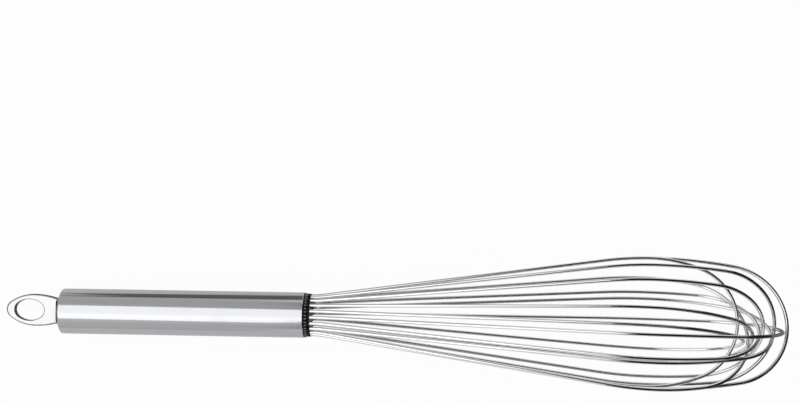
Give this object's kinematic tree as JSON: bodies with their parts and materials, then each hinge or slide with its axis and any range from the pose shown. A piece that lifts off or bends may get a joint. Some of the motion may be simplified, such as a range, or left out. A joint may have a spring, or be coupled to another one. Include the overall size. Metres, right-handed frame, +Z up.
{
  "type": "whisk",
  "caption": "French kitchen whisk at rest: steel tube handle with a hanging loop, dark nylon plug and a slim balloon cage of nested spring wire loops.",
  "frame": {"origin": "on the table under the middle of the whisk, which lies on the heel of its tube and on its cage", "axes": "+X from the hanging loop towards the tip of the cage, +Z up from the table, +Y across the whisk; the handle rises about 4 degrees towards +X"},
  "size_m": [0.3508, 0.0596, 0.0632],
  "materials": {
    "handle_steel": "stainless steel, polished along the tube with fine lengthwise lines",
    "loop_steel": "stainless steel plate, tumbled satin",
    "wire_steel": "drawn stainless spring wire, electropolished",
    "plug_nylon": "black moulded nylon, semi-gloss",
    "potting_epoxy": "cast epoxy, matt and out of sight"
  },
  "bodies": {
    "root": {"handle_tube": "handle_steel", "hanging_loop": "loop_steel", "wire_plug": "plug_nylon", "wire_potting": "potting_epoxy", "wire_1": "wire_steel", "wire_2": "wire_steel", "wire_3": "wire_steel", "wire_4": "wire_steel", "wire_5": "wire_steel", "wire_6": "wire_steel", "wire_7": "wire_steel", "wire_8": "wire_steel", "wire_9": "wire_steel", "wire_10": "wire_steel"}
  },
  "joints": []
}
